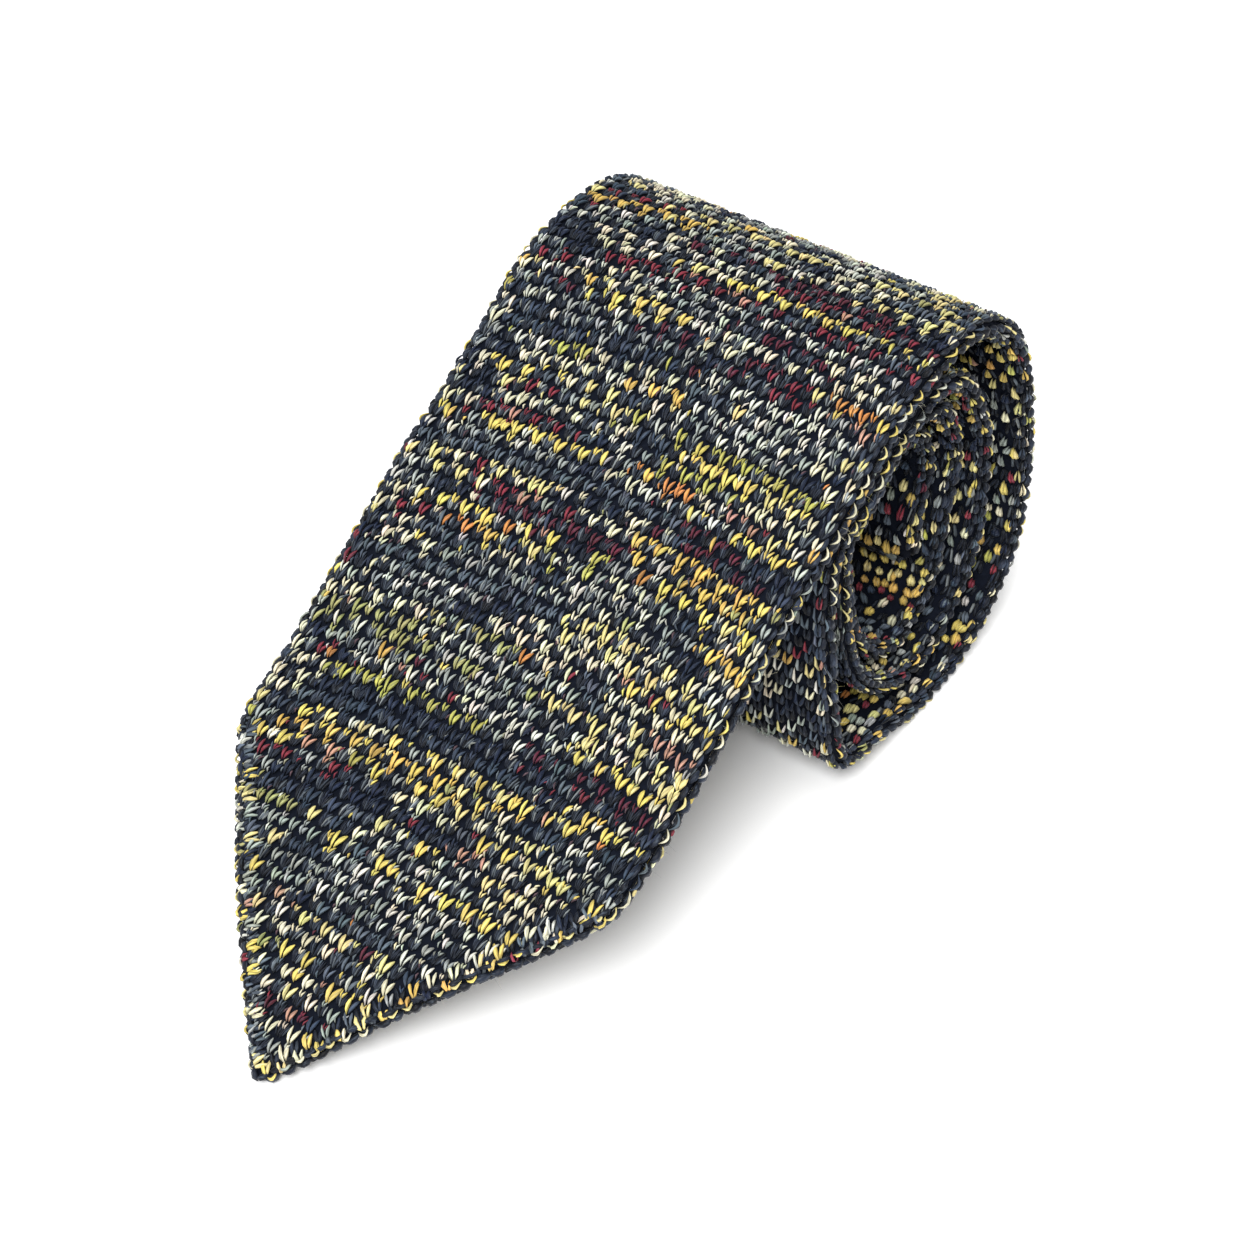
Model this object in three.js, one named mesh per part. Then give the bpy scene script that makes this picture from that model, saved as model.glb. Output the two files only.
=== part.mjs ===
// A knitted tie, rolled up from its narrow end and stood on its roll, so that the front
// blade runs down to the surface and rests on its point. The tie is a knitted tube pressed
// flat, one piece of cloth from end to end. Millimetres, +Z up, X across the blade, the
// point towards -Y. The origin is on the surface, under the middle of the whole thing.
import * as THREE from 'three';

// Driving sizes. pressedFlat is how deep the cloth is flattened where the roll rests. The
// tail taper is what each side loses for each millimetre past the wide length. Bluntness is
// a share of the point's depth, and softness a share of half the width.
const bladeWidth = 62;
const clothThickness = 3.2;
const layerGap = 0.5;
const rollHeight = 62.8;
const slopeReach = 108.5;
const pointDepth = 39.5;
const pointBluntness = 0.06;
const shoulderSoftness = 0.06;
const pressedFlat = 0.9;
const tailTaper = 0.02;
const wideLength = 390;

// Fineness of the loft
const stationStep = 3.6;
const faceSteps = 6;
const foldSteps = 4;
const tipSteps = 4;
const curveDivisions = 3000;

// The roll seen from its right end, in polar form about its middle. turn is in degrees,
// 0 straight up, growing over the ridge and down the back. outer is the distance of the
// cloth's outer face from the middle, as a share of the roll's height. side is how far the
// cloth has slid sideways, as a share of the blade's width. second, third and fourth are how
// much closer to the middle than snug the inner turns lie, as a share of what is left there.
const rollRows = [
  { turn: -60, outer: 0.535, side: 0.0, second: 0.03, third: 0.04, fourth: 0.06 },
  { turn: -40, outer: 0.475, side: 0.0, second: 0.01, third: 0.01, fourth: 0.03 },
  { turn: -20, outer: 0.485, side: 0.0, second: 0.01, third: 0.01, fourth: 0.05 },
  { turn: 0, outer: 0.502, side: 0.0, second: 0.025, third: 0.01, fourth: 0.1 },
  { turn: 20, outer: 0.53, side: 0.005, second: 0.13, third: 0.045, fourth: 0.05 },
  { turn: 40, outer: 0.522, side: 0.015, second: 0.23, third: 0.03, fourth: 0.01 },
  { turn: 60, outer: 0.48, side: 0.025, second: 0.21, third: 0.065, fourth: 0.03 },
  { turn: 80, outer: 0.46, side: 0.03, second: 0.21, third: 0.12, fourth: 0.08 },
  { turn: 100, outer: 0.475, side: 0.035, second: 0.22, third: 0.2, fourth: 0.08 },
  { turn: 120, outer: 0.51, side: 0.04, second: 0.2, third: 0.22, fourth: 0.05 },
  { turn: 140, outer: 0.525, side: 0.04, second: 0.14, third: 0.15, fourth: 0.05 },
  { turn: 160, outer: 0.513, side: 0.04, second: 0.075, third: 0.07, fourth: 0.05 },
  { turn: 180, outer: 0.49, side: 0.04, second: 0.03, third: 0.02, fourth: 0.05 },
  { turn: 200, outer: 0.478, side: 0.04, second: 0.09, third: 0.03, fourth: 0.05 },
  { turn: 220, outer: 0.53, side: 0.035, second: 0.26, third: 0.04, fourth: 0.05 },
  { turn: 240, outer: 0.462, side: 0.025, second: 0.19, third: 0.04, fourth: 0.05 },
  { turn: 260, outer: 0.42, side: 0.015, second: 0.13, third: 0.04, fourth: 0.05 },
  { turn: 280, outer: 0.432, side: 0.005, second: 0.1, third: 0.05, fourth: 0.05 },
];
const lastTurn = 1220;

// The front slope between the point and the roll. along is the share of the straight line
// between them, lift is how far the cloth stands off that line, as a share of the height.
const slopeRows = [
  { along: 0.2, lift: 0.024 },
  { along: 0.38, lift: -0.001 },
  { along: 0.58, lift: -0.021 },
  { along: 0.78, lift: -0.006 },
  { along: 0.91, lift: 0.007 },
];

const fullTurn = 360;
const halfWidth = bladeWidth / 2;
const halfThickness = clothThickness / 2;
const middleHeight = rollHeight / 2 - pressedFlat;

// The outer face of turn after turn: each lies a cloth and a gap inside the one around it,
// measured square to the cloth, and then closer by its own looseness.
function rollRadii() {
  const radii = rollRows.map((row) => rollHeight * row.outer);
  const count = rollRows.length;
  const rowStep = THREE.MathUtils.degToRad(rollRows[1].turn - rollRows[0].turn);
  const turns = rollRows.map((row) => row.turn);
  const sides = rollRows.map((row) => row.side);
  for (let i = count; turns[i - 1] < lastTurn; i += 1) {
    const row = rollRows[i % count];
    const around = radii[i - count];
    const before = i > count ? radii[i - count - 1] : 2 * around - radii[1];
    const after = radii[i - count + 1];
    const lean = (after - before) / (2 * rowStep * around);
    const snug = around - (clothThickness + layerGap) * Math.hypot(1, lean);
    const looseness = [row.second, row.third, row.fourth][Math.floor(i / count) - 1];
    radii.push(snug * (1 - looseness));
    turns.push(row.turn + fullTurn * Math.floor(i / count));
    sides.push(0);
  }
  return { radii, turns, sides };
}

// Knots of the cloth's outer face in the side view, from the point up the slope and round
// the roll. X carries the sideways slip.
function faceKnots() {
  const { radii, turns, sides } = rollRadii();
  const rollKnots = radii.map((radius, i) => {
    const angle = THREE.MathUtils.degToRad(turns[i]);
    const across = bladeWidth * sides[i];
    return new THREE.Vector3(across, radius * Math.sin(angle), middleHeight + radius * Math.cos(angle));
  });
  const foot = new THREE.Vector3(0, -slopeReach, halfThickness);
  const run = rollKnots[0].clone().sub(foot);
  const lift = new THREE.Vector3(0, -run.z, run.y).normalize();
  const slopeKnots = slopeRows.map((row) => foot.clone()
    .addScaledVector(run, row.along)
    .addScaledVector(lift, rollHeight * row.lift));
  return [foot, ...slopeKnots, ...rollKnots];
}

// Stations along the cloth, close together at the point and even after it.
function stationLengths(total) {
  const lengths = [];
  for (let i = 1; i < tipSteps; i += 1) {
    lengths.push(stationStep * (1 - Math.cos((Math.PI / 2) * (i / tipSteps))));
  }
  const count = Math.round(total / stationStep);
  for (let i = 1; i <= count; i += 1) {
    lengths.push(total * (i / count));
  }
  return lengths;
}

// Half the width at a distance from the point: it opens evenly over the point's depth, with
// a blunt tip and a soft shoulder, and narrows slowly once past the wide length.
function halfWidthAt(distance) {
  const reached = distance / pointDepth;
  const opening = halfWidth * Math.sqrt((reached * (reached + pointBluntness)) / (1 + pointBluntness));
  const shoulder = halfWidth * shoulderSoftness;
  const gap = halfWidth - opening;
  const blade = (opening + halfWidth - Math.sqrt(gap * gap + shoulder * shoulder)) / 2;
  const tail = tailTaper * Math.max(distance - wideLength, 0);
  return blade - tail;
}

// One ring of the flat tube: two flat faces joined by round folds.
function ringPoints(half, thick) {
  const fold = Math.min(half, thick);
  const ring = [];
  for (const side of [1, -1]) {
    for (let i = 0; i <= foldSteps; i += 1) {
      const angle = side * (Math.PI / 2) - (Math.PI * i) / foldSteps;
      ring.push([side * (half - fold) + fold * Math.cos(angle), thick * Math.sin(angle)]);
    }
    for (let i = 1; i < faceSteps; i += 1) {
      ring.push([side * (half - fold) * (1 - (2 * i) / faceSteps), -side * thick]);
    }
  }
  return ring;
}

function knitTie() {
  const curve = new THREE.CatmullRomCurve3(faceKnots(), false, 'centripetal');
  curve.arcLengthDivisions = curveDivisions;
  const total = curve.getLength();
  const positions = [];
  const stations = stationLengths(total);
  for (const distance of stations) {
    const face = curve.getPointAt(distance / total);
    const along = curve.getTangentAt(distance / total);
    const outward = new THREE.Vector3(0, -along.z, along.y).normalize();
    const half = halfWidthAt(distance);
    const thick = halfThickness * Math.min(1, (1 + distance / stationStep) / 2);
    for (const [across, off] of ringPoints(half, thick)) {
      const point = face.clone().addScaledVector(outward, off - halfThickness);
      positions.push(point.x + across, point.y, Math.max(point.z, 0));
    }
  }
  const ringSize = positions.length / 3 / stations.length;
  const faces = [];
  for (let i = 0; i + 1 < stations.length; i += 1) {
    for (let j = 0; j < ringSize; j += 1) {
      const a = i * ringSize + j;
      const b = i * ringSize + ((j + 1) % ringSize);
      faces.push(a, b, a + ringSize, b, b + ringSize, a + ringSize);
    }
  }
  const last = (stations.length - 1) * ringSize;
  for (let j = 1; j + 1 < ringSize; j += 1) {
    faces.push(0, j + 1, j);
    faces.push(last, last + j, last + j + 1);
  }
  const geometry = new THREE.BufferGeometry();
  geometry.setAttribute('position', new THREE.Float32BufferAttribute(positions, 3));
  geometry.setIndex(faces);
  geometry.computeBoundingBox();
  const middle = geometry.boundingBox.getCenter(new THREE.Vector3());
  geometry.translate(-middle.x, -middle.y, 0);
  geometry.computeVertexNormals();
  return geometry;
}

const yarn = new THREE.MeshStandardMaterial({ color: 0x2c3446, roughness: 0.9, metalness: 0 });
const tie = new THREE.Group();
const cloth = new THREE.Mesh(knitTie(), yarn);
cloth.name = 'knit_tie';
tie.add(cloth);

export default tie;
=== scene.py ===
import bpy
import numpy as np
from mathutils import Matrix


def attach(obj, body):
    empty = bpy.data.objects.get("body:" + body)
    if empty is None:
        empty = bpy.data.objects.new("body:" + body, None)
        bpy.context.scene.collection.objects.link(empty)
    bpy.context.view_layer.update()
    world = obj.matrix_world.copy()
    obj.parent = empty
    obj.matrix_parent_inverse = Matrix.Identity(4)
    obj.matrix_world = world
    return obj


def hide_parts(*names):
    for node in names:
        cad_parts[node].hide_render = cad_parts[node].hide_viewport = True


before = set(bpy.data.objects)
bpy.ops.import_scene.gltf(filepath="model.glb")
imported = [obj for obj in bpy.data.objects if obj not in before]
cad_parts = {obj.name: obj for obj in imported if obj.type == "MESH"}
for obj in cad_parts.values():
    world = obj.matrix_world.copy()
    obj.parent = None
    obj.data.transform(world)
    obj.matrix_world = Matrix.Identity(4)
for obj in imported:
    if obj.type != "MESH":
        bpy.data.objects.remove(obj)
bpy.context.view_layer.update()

# A knitted tie, rolled up from its narrow end and stood on its roll. The cloth is a flat knitted
# tube: a dark core in the middle of the yarn, painted near black as the shade in the gaps between
# the stitches, and on it every stitch that can be seen, as a V of two legs. Lengths are millimetres until a
# mesh is made.
mm = 0.001

tie = {
    "bladeWidth": 62.0,
    "clothThickness": 3.2,
    "layerGap": 0.5,
    "rollHeight": 62.8,
    "slopeReach": 108.5,
    "pointDepth": 39.5,
    "pointBluntness": 0.06,
    "shoulderSoftness": 0.06,
    "pressedFlat": 0.9,
    "tailTaper": 0.02,
    "wideLength": 390.0,
    "lastTurn": 1220.0,
    "thinAtTip": 3.6,     # the cloth thins over this length at the very point
}

# the roll in polar form, as the frame has it: turn in degrees, the outer face's distance from the
# middle as a share of the roll's height, the slip sideways as a share of the width, and how much
# closer than snug the second, third and fourth turns lie
rollRows = (
    (-60, 0.535, 0.0, 0.03, 0.04, 0.06), (-40, 0.475, 0.0, 0.01, 0.01, 0.03),
    (-20, 0.485, 0.0, 0.01, 0.01, 0.05), (0, 0.502, 0.0, 0.025, 0.01, 0.1),
    (20, 0.53, 0.005, 0.13, 0.045, 0.05), (40, 0.522, 0.015, 0.23, 0.03, 0.01),
    (60, 0.48, 0.025, 0.21, 0.065, 0.03), (80, 0.46, 0.03, 0.21, 0.12, 0.08),
    (100, 0.475, 0.035, 0.22, 0.2, 0.08), (120, 0.51, 0.04, 0.2, 0.22, 0.05),
    (140, 0.525, 0.04, 0.14, 0.15, 0.05), (160, 0.513, 0.04, 0.075, 0.07, 0.05),
    (180, 0.49, 0.04, 0.03, 0.02, 0.05), (200, 0.478, 0.04, 0.09, 0.03, 0.05),
    (220, 0.53, 0.035, 0.26, 0.04, 0.05), (240, 0.462, 0.025, 0.19, 0.04, 0.05),
    (260, 0.42, 0.015, 0.13, 0.04, 0.05), (280, 0.432, 0.005, 0.1, 0.05, 0.05),
)
# the slope between the point and the roll: share of the straight line, lift as a share of the height
slopeRows = ((0.2, 0.024), (0.38, -0.001), (0.58, -0.021), (0.78, -0.006), (0.91, 0.007))


# Outer face of turn after turn: the turn around it, less a cloth and a gap measured square to the
# cloth, times one less its looseness.
def rollRadii():
    rows = np.array(rollRows)
    count = len(rows)
    rowStep = np.radians(rows[1, 0] - rows[0, 0])
    radii = list(tie["rollHeight"] * rows[:, 1])
    turns = list(rows[:, 0])
    slips = list(rows[:, 2])
    while turns[-1] < tie["lastTurn"]:
        i = len(radii)
        row = rows[i % count]
        around = radii[i - count]
        before = radii[i - count - 1] if i > count else 2 * around - radii[1]
        lean = (radii[i - count + 1] - before) / (2 * rowStep * around)
        snug = around - (tie["clothThickness"] + tie["layerGap"]) * np.hypot(1, lean)
        radii.append(snug * (1 - row[2 + i // count]))
        turns.append(row[0] + 360 * (i // count))
        slips.append(0.0)
    return np.array(radii), np.radians(turns), np.array(slips)


# Knots of the cloth's outer face from the point up the slope and round the roll: (slip, radius
# times the sine, middle plus radius times the cosine).
def faceKnots():
    radii, turns, slips = rollRadii()
    middle = tie["rollHeight"] / 2 - tie["pressedFlat"]
    roll = np.stack([tie["bladeWidth"] * slips, radii * np.sin(turns), middle + radii * np.cos(turns)], 1)
    foot = np.array([0.0, -tie["slopeReach"], tie["clothThickness"] / 2])
    run = roll[0] - foot
    lift = np.array([0.0, -run[2], run[1]]) / np.hypot(run[1], run[2])
    slope = [foot + run * along + lift * tie["rollHeight"] * up for along, up in slopeRows]
    return np.vstack([foot, slope, roll])


# Centripetal Catmull-Rom through the knots: on each span a cubic from its two ends and their
# tangents, the tangents weighed by the square roots of the spans' lengths.
def smoothCurve(knots, perSpan=60):
    ends = np.vstack([2 * knots[0] - knots[1], knots, 2 * knots[-1] - knots[-2]])
    p0, p1, p2, p3 = ends[:-3], ends[1:-2], ends[2:-1], ends[3:]
    pairs = ((p0, p1), (p1, p2), (p2, p3))
    d0, d1, d2 = (np.linalg.norm(b - a, axis=1)[:, None] ** 0.5 for a, b in pairs)
    m1 = d1 * ((p1 - p0) / d0 - (p2 - p0) / (d0 + d1) + (p2 - p1) / d1)
    m2 = d1 * ((p2 - p1) / d1 - (p3 - p1) / (d1 + d2) + (p3 - p2) / d2)
    w = (np.arange(perSpan) / perSpan)[None, :, None]
    p1, p2, m1, m2 = (a[:, None, :] for a in (p1, p2, m1, m2))
    points = p1 + m1 * w + (3 * (p2 - p1) - 2 * m1 - m2) * w ** 2 + (2 * (p1 - p2) + m1 + m2) * w ** 3
    points = np.vstack([points.reshape(-1, 3), knots[-1]])
    steps = np.linalg.norm(np.diff(points, axis=0), axis=1)
    return points, np.concatenate([[0.0], np.cumsum(steps)])


# Half the width at a length from the point: evenly open over the point's depth, blunt at the tip,
# soft at the shoulder, and a slow taper past the wide length.
def halfWidthAt(s):
    half = tie["bladeWidth"] / 2
    reached = np.maximum(s, 0) / tie["pointDepth"]
    opening = half * np.sqrt(reached * (reached + tie["pointBluntness"]) / (1 + tie["pointBluntness"]))
    shoulder = half * tie["shoulderSoftness"]
    blade = (opening + half - np.sqrt((half - opening) ** 2 + shoulder ** 2)) / 2
    return blade - tie["tailTaper"] * np.maximum(s - tie["wideLength"], 0)


def halfThickAt(s):
    return tie["clothThickness"] / 2 * np.clip((1 + np.maximum(s, 0) / tie["thinAtTip"]) / 2, 0, 1)


pathPoints, pathLengths = smoothCurve(faceKnots())
totalLength = pathLengths[-1]
pathDirections = np.gradient(pathPoints, pathLengths, axis=0)


# The face's point, the direction along the cloth and the outward direction at each length. Past
# its ends the path runs straight on.
def frameAt(s):
    inside = np.clip(s, 0, totalLength)
    face = np.stack([np.interp(inside, pathLengths, pathPoints[:, i]) for i in range(3)], -1)
    along = np.stack([np.interp(inside, pathLengths, pathDirections[:, i]) for i in range(3)], -1)
    along /= np.linalg.norm(along, axis=-1, keepdims=True)
    outward = np.stack([np.zeros_like(inside), -along[..., 2], along[..., 1]], -1)
    outward /= np.linalg.norm(outward, axis=-1, keepdims=True)
    return face + along * (s - inside)[..., None], along, outward


# the whole tie is centred over the origin by its box, as the frame is
def centreOffset():
    s = np.linspace(0, totalLength, 1500)
    face, along, outward = frameAt(s)
    half = halfWidthAt(s)
    inner = face - outward * 2 * halfThickAt(s)[:, None]
    xs = np.concatenate([face[:, 0] - half, face[:, 0] + half])
    ys = np.concatenate([face[:, 1], inner[:, 1]])
    return -np.array([(xs.min() + xs.max()) / 2, (ys.min() + ys.max()) / 2, 0.0])


shift = centreOffset()
print("path: length", round(totalLength, 1), "shift", shift.round(3))

# the right half of the blade's outline, dense at the point, with its inward normals and lengths
outlineS = np.concatenate([60 * np.linspace(0, 1, 260) ** 1.6, np.arange(60.5, totalLength, 0.5)])
outlineX = halfWidthAt(outlineS)
outlineDirection = np.gradient(np.stack([outlineX, outlineS], 1), axis=0)
outlineDirection /= np.linalg.norm(outlineDirection, axis=1, keepdims=True)
outlineInward = np.stack([-outlineDirection[:, 1], outlineDirection[:, 0]], 1)
outlineSteps = np.hypot(np.diff(outlineX), np.diff(outlineS))
outlineLengths = np.concatenate([[0.0], np.cumsum(outlineSteps)])
nearPoint = outlineS < 52


# Nearest point of the outline and its inward normal, for places on the right half. Along the
# straight edges it is level with the place, at the point it is searched for.
def nearestOutline(x, s):
    nearest = np.stack([halfWidthAt(s), s], -1)
    inward = np.broadcast_to(np.array([-1.0, 0.0]), nearest.shape).copy()
    places = np.flatnonzero(s < 46)
    corners = np.stack([outlineX, outlineS], 1)[nearPoint]
    for chunk in np.array_split(places, max(1, len(places) // 20000)):
        gaps = (x[chunk, None] - corners[None, :, 0]) ** 2 + (s[chunk, None] - corners[None, :, 1]) ** 2
        found = gaps.argmin(1)
        nearest[chunk] = corners[found]
        inward[chunk] = outlineInward[nearPoint][found]
    return nearest, inward


def edgeDistance(x, s):
    nearest, inward = nearestOutline(np.abs(x), s)
    return ((np.stack([np.abs(x), s], -1) - nearest) * inward).sum(-1)


# A place on the cloth: x across, s along, height off the surface, on the outer face (1) or the
# inner one (-1). Nearer the outline than the fold's radius, the cloth turns round it: the turn is
# how much nearer, over the radius; the place is the outline's nearest point moved inwards by the
# radius times one less the turn's sine, and its depth is the half thickness times the cosine.
def onCloth(x, s, height, face):
    shape = x.shape
    x, s, height = x.ravel(), s.ravel(), height.ravel()
    face = np.broadcast_to(face, shape).ravel()
    side = np.where(x < 0, -1.0, 1.0)
    nearest, inward = nearestOutline(np.abs(x), s)
    flat = np.stack([np.abs(x), s], -1)
    distance = ((flat - nearest) * inward).sum(-1)
    thick = halfThickAt(s)
    fold = np.maximum(np.minimum(thick, halfWidthAt(s)), 0.3)
    turn = np.clip((fold - distance) / fold, 0, np.pi)
    turned = nearest + inward * (fold * (1 - np.sin(turn)))[:, None]
    flat = np.where((turn > 0)[:, None], turned, flat)
    sideways = -inward * np.sin(turn)[:, None]
    point, along, outward = frameAt(flat[:, 1])
    depth = face * thick * np.cos(turn) - tie["clothThickness"] / 2 + face * height * np.cos(turn)
    point = point + outward * depth[:, None] + along * (height * sideways[:, 1])[:, None]
    point[:, 0] += side * (flat[:, 0] + height * sideways[:, 0])
    point += shift
    # what would go under the surface is pressed flat just above it
    press = 0.35
    point[:, 2] = np.where(point[:, 2] < press, press * np.exp((point[:, 2] - press) / press), point[:, 2])
    return point.reshape(*shape, 3)


# Room in front of each face at each length: the least distance, straight off the cloth in the side
# view, to any other turn, less the cloth's thickness.
def roomAlong(face):
    s = np.arange(0.0, totalLength, 1.0)
    point, along, outward = frameAt(s)
    gap = point[None, :, 1:] - point[:, None, 1:]
    straight = (gap * (face * outward[:, None, 1:])).sum(-1)
    level = np.abs((gap * along[:, None, 1:]).sum(-1))
    other = (np.abs(s[None] - s[:, None]) > 15) & (level < 1.5) & (straight > 0)
    return s, np.where(other, straight - tie["clothThickness"], 99.0).min(1)


def linear(hexColour):
    # sRGB hex to linear red, green and blue
    srgb = np.array([int(hexColour[i:i + 2], 16) for i in (1, 3, 5)]) / 255
    return np.where(srgb <= 0.04045, srgb / 12.92, ((srgb + 0.055) / 1.055) ** 2.4)


def addMesh(name, points, faces, material, colours=None, strands=None):
    mesh = bpy.data.meshes.new(name)
    mesh.from_pydata((points * mm).tolist(), [], faces.tolist() if hasattr(faces, "tolist") else faces)
    mesh.polygons.foreach_set("use_smooth", np.ones(len(mesh.polygons), dtype=bool))
    if colours is not None:
        rgba = np.ones((len(points), 4), dtype=np.float32)
        rgba[:, :3] = colours
        mesh.attributes.new("yarnColour", "FLOAT_COLOR", "POINT").data.foreach_set("color", rgba.ravel())
    if strands is not None:
        layer = mesh.attributes.new("strand", "FLOAT_VECTOR", "POINT")
        layer.data.foreach_set("vector", strands.astype(np.float32).ravel())
    mesh.update()
    piece = bpy.data.objects.new(name, mesh)
    bpy.context.collection.objects.link(piece)
    mesh.materials.append(material)
    return piece


def addNode(tree, kind, settings=None, links=None):
    node = tree.nodes.new(kind)
    for key, value in (settings or {}).items():
        if hasattr(node, key):
            setattr(node, key, value)
        else:
            node.inputs[key].default_value = value
    for key, source in (links or {}).items():
        tree.links.new(source, node.inputs[key])
    return node


def newMaterial(name):
    material = bpy.data.materials.new(name)
    material.use_nodes = True
    tree = material.node_tree
    return material, tree, tree.nodes["Principled BSDF"]


# Space-dyed cotton and wool yarn, two soft plies, knitted: matt, with a faint silky sheen from the
# mercerised cotton, fine lines along each leg where the fibres lie, and pale hairs in the heather.
def knittedYarn():
    material, tree, shader = newMaterial("spaceDyedKnitYarn")
    dyed = addNode(tree, "ShaderNodeAttribute", {"attribute_name": "yarnColour"})
    strand = addNode(tree, "ShaderNodeAttribute", {"attribute_name": "strand"})
    lines = addNode(tree, "ShaderNodeMapping", {"Scale": (7.5, 1.5, 1.0)},
                    {"Vector": strand.outputs["Vector"]})
    fibres = addNode(tree, "ShaderNodeTexNoise", {"Scale": 1.0, "Detail": 2.5, "Roughness": 0.6},
                     {"Vector": lines.outputs["Vector"]})
    tone = addNode(tree, "ShaderNodeMapRange",
                   {"From Min": 0.32, "From Max": 0.66, "To Min": 0.55, "To Max": 1.3},
                   {"Value": fibres.outputs["Fac"]})
    # two plies twisted together: a groove that winds slowly round the leg, darkened into the colour as painted
    # shade
    twist = addNode(tree, "ShaderNodeVectorMath", {"operation": "DOT_PRODUCT"}, {0: strand.outputs["Vector"]})
    twist.inputs[1].default_value = (12.566, 4.2, 0.7)
    wave = addNode(tree, "ShaderNodeMath", {"operation": "SINE"}, {0: twist.outputs["Value"]})
    plyGrooveShade = addNode(tree, "ShaderNodeMapRange",
                     {"From Min": -1.0, "From Max": -0.3, "To Min": 0.62, "To Max": 1.0},
                     {"Value": wave.outputs["Value"]})
    fibreToneTimesGrooveShade = addNode(tree, "ShaderNodeMath", {"operation": "MULTIPLY"},
                   {0: tone.outputs["Result"], 1: plyGrooveShade.outputs["Result"]})
    tonedAndGrooveShaded = addNode(tree, "ShaderNodeVectorMath", {"operation": "SCALE"},
                    {"Vector": dyed.outputs["Color"], "Scale": fibreToneTimesGrooveShade.outputs["Value"]})
    thin = addNode(tree, "ShaderNodeMapping", {"Scale": (13.0, 2.4, 1.0), "Location": (3.7, 9.1, 5.3)},
                   {"Vector": strand.outputs["Vector"]})
    hairs = addNode(tree, "ShaderNodeTexNoise", {"Scale": 1.0, "Detail": 2.0},
                    {"Vector": thin.outputs["Vector"]})
    pale = addNode(tree, "ShaderNodeMapRange",
                   {"From Min": 0.54, "From Max": 0.72, "To Min": 0.0, "To Max": 0.2},
                   {"Value": hairs.outputs["Fac"]})
    mixed = addNode(tree, "ShaderNodeMix", {"data_type": "RGBA"}, {"Factor": pale.outputs["Result"]})
    tree.links.new(tonedAndGrooveShaded.outputs["Vector"], mixed.inputs["A"])
    mixed.inputs["B"].default_value = (*linear("#7f8fa2"), 1)
    bump = addNode(tree, "ShaderNodeBump", {"Strength": 0.8, "Distance": 0.00015},
                   {"Height": fibres.outputs["Fac"]})
    tree.links.new(mixed.outputs["Result"], shader.inputs["Base Color"])
    tree.links.new(bump.outputs["Normal"], shader.inputs["Normal"])
    shader.inputs["Roughness"].default_value = 0.55
    shader.inputs["IOR"].default_value = 1.53
    shader.inputs["Specular IOR Level"].default_value = 0.18
    shader.inputs["Sheen Weight"].default_value = 0.05
    shader.inputs["Sheen Roughness"].default_value = 0.4
    return material


# The inside of the stitches: the same navy yarn where hardly any light reaches it, near black.
def shadowedCore():
    material, tree, shader = newMaterial("shadowedNavyCore")
    place = addNode(tree, "ShaderNodeTexCoord")
    mottle = addNode(tree, "ShaderNodeTexNoise", {"Scale": 1400.0, "Detail": 3.0},
                     {"Vector": place.outputs["Object"]})
    deep = addNode(tree, "ShaderNodeMix", {"data_type": "RGBA"}, {"Factor": mottle.outputs["Fac"]})
    deep.inputs["A"].default_value = (*linear("#090b11"), 1)
    deep.inputs["B"].default_value = (*linear("#151a26"), 1)
    bump = addNode(tree, "ShaderNodeBump", {"Strength": 0.7, "Distance": 0.0003},
                   {"Height": mottle.outputs["Fac"]})
    tree.links.new(deep.outputs["Result"], shader.inputs["Base Color"])
    tree.links.new(bump.outputs["Normal"], shader.inputs["Normal"])
    shader.inputs["Roughness"].default_value = 0.85
    shader.inputs["Specular IOR Level"].default_value = 0.06
    return material


yarnMaterial = knittedYarn()
coreMaterial = shadowedCore()

core = {
    "inset": 0.8,         # how far the core lies under the stitches' tops
    "station": 2.4,       # spacing along the cloth
    "foldSteps": 8,
    "faceSteps": 10,
    "tipStart": 0.9,
}


# The dark core, its near-black colour painted shade: a flat tube carried along the path. Each ring
# is two straight faces and two half circles, smaller all round by the inset.
def coreTube():
    count = int(totalLength / core["station"])
    s = np.linspace(core["tipStart"], totalLength - core["inset"], count)
    thick = halfThickAt(s) - core["inset"] * np.minimum(1, halfThickAt(s) / tie["clothThickness"] * 2)
    thick = np.maximum(thick, 0.25)
    half = np.maximum(halfWidthAt(s) - core["inset"], 0.4)
    fold = np.minimum(half, thick)
    angles = np.linspace(0, np.pi, core["foldSteps"] + 1)
    shares = np.linspace(1, -1, core["faceSteps"] + 1)[1:-1]
    right = [((half - fold) + fold * np.sin(a), thick * np.cos(a)) for a in angles]
    under = [((half - fold) * c, -thick) for c in shares]
    left = [(-(half - fold) - fold * np.sin(a), -thick * np.cos(a)) for a in angles]
    over = [(-(half - fold) * c, thick) for c in shares]
    ring = right + under + left + over
    across = np.stack([r[0] for r in ring], 1)
    depth = np.stack([r[1] for r in ring], 1)
    face, along, outward = frameAt(s)
    points = face[:, None] + outward[:, None] * (depth - tie["clothThickness"] / 2)[..., None]
    points[..., 0] += across
    points += shift
    points[..., 2] = np.maximum(points[..., 2], 0.3)
    size = len(ring)
    i, j = np.meshgrid(np.arange(count - 1), np.arange(size), indexing="ij")
    a, b = i * size + j, i * size + (j + 1) % size
    quads = np.stack([a, a + size, b + size, b], -1).reshape(-1, 4).tolist()
    caps = [list(range(size)), [(count - 1) * size + j for j in reversed(range(size))]]
    return addMesh("knit_core", points.reshape(-1, 3), quads + caps, coreMaterial)


coreCloth = coreTube()
print("core: made")

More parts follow.
